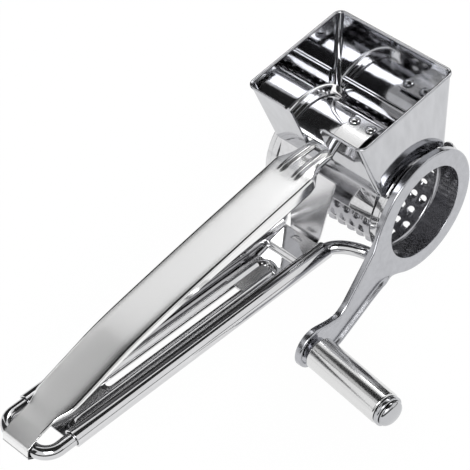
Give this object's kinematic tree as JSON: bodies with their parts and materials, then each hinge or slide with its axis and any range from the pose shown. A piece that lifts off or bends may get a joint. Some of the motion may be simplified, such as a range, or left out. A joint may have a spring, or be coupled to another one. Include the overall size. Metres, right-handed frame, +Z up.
{
  "type": "hand cranked drum cheese grater",
  "caption": "Stainless steel drum cheese grater with an open hopper, a hinged press lever, a wire framed handle, and a side crank with a turning grip that drives the grating drum.",
  "frame": {"origin": "middle of the base of the object's box, level with the underside of the two wire cradles", "axes": "+Z up through the open top of the hopper, +X along the handle towards the hopper, -Y towards the crank"},
  "size_m": [0.2282, 0.1182, 0.0882],
  "materials": {
    "mirror_steel": "mirror polished stainless steel",
    "satin_steel": "satin polished stainless steel",
    "grey_steel": "smooth polished stainless steel"
  },
  "bodies": {
    "frame": {"hopper": "mirror_steel", "handle_side_apron": "mirror_steel", "far_side_apron": "mirror_steel", "crank_side_collar": "mirror_steel", "far_side_collar": "mirror_steel", "wire_frame": "mirror_steel", "handle_plate": "mirror_steel", "neck_plate": "mirror_steel"},
    "press_lever": {"lever": "satin_steel", "press_plate": "mirror_steel", "press_rivet_crank_side": "mirror_steel", "press_rivet_far_side": "mirror_steel"},
    "crank_drum": {"grating_drum": "mirror_steel", "crank": "grey_steel", "grip_spindle": "mirror_steel"},
    "grip": {"grip_washer": "mirror_steel", "grip_sleeve": "mirror_steel", "grip_end_ring": "mirror_steel", "grip_cap": "mirror_steel"}
  },
  "joints": [
    {"name": "lever_hinge", "type": "hinge", "parent": "frame", "child": "press_lever", "pos_m": [-0.10983, 0.02619, 0.04554], "axis": [0, -1, 0], "range_deg": [0, 120]},
    {"name": "crank_spin", "type": "hinge", "parent": "frame", "child": "crank_drum", "pos_m": [0.08357, 0.02619, 0.03067], "axis": [0, -1, 0], "continuous": true},
    {"name": "grip_spin", "type": "hinge", "parent": "crank_drum", "child": "grip", "pos_m": [0.01067, -0.01051, 0.01257], "axis": [-0.1031, -0.9943, -0.0256], "continuous": true}
  ]
}
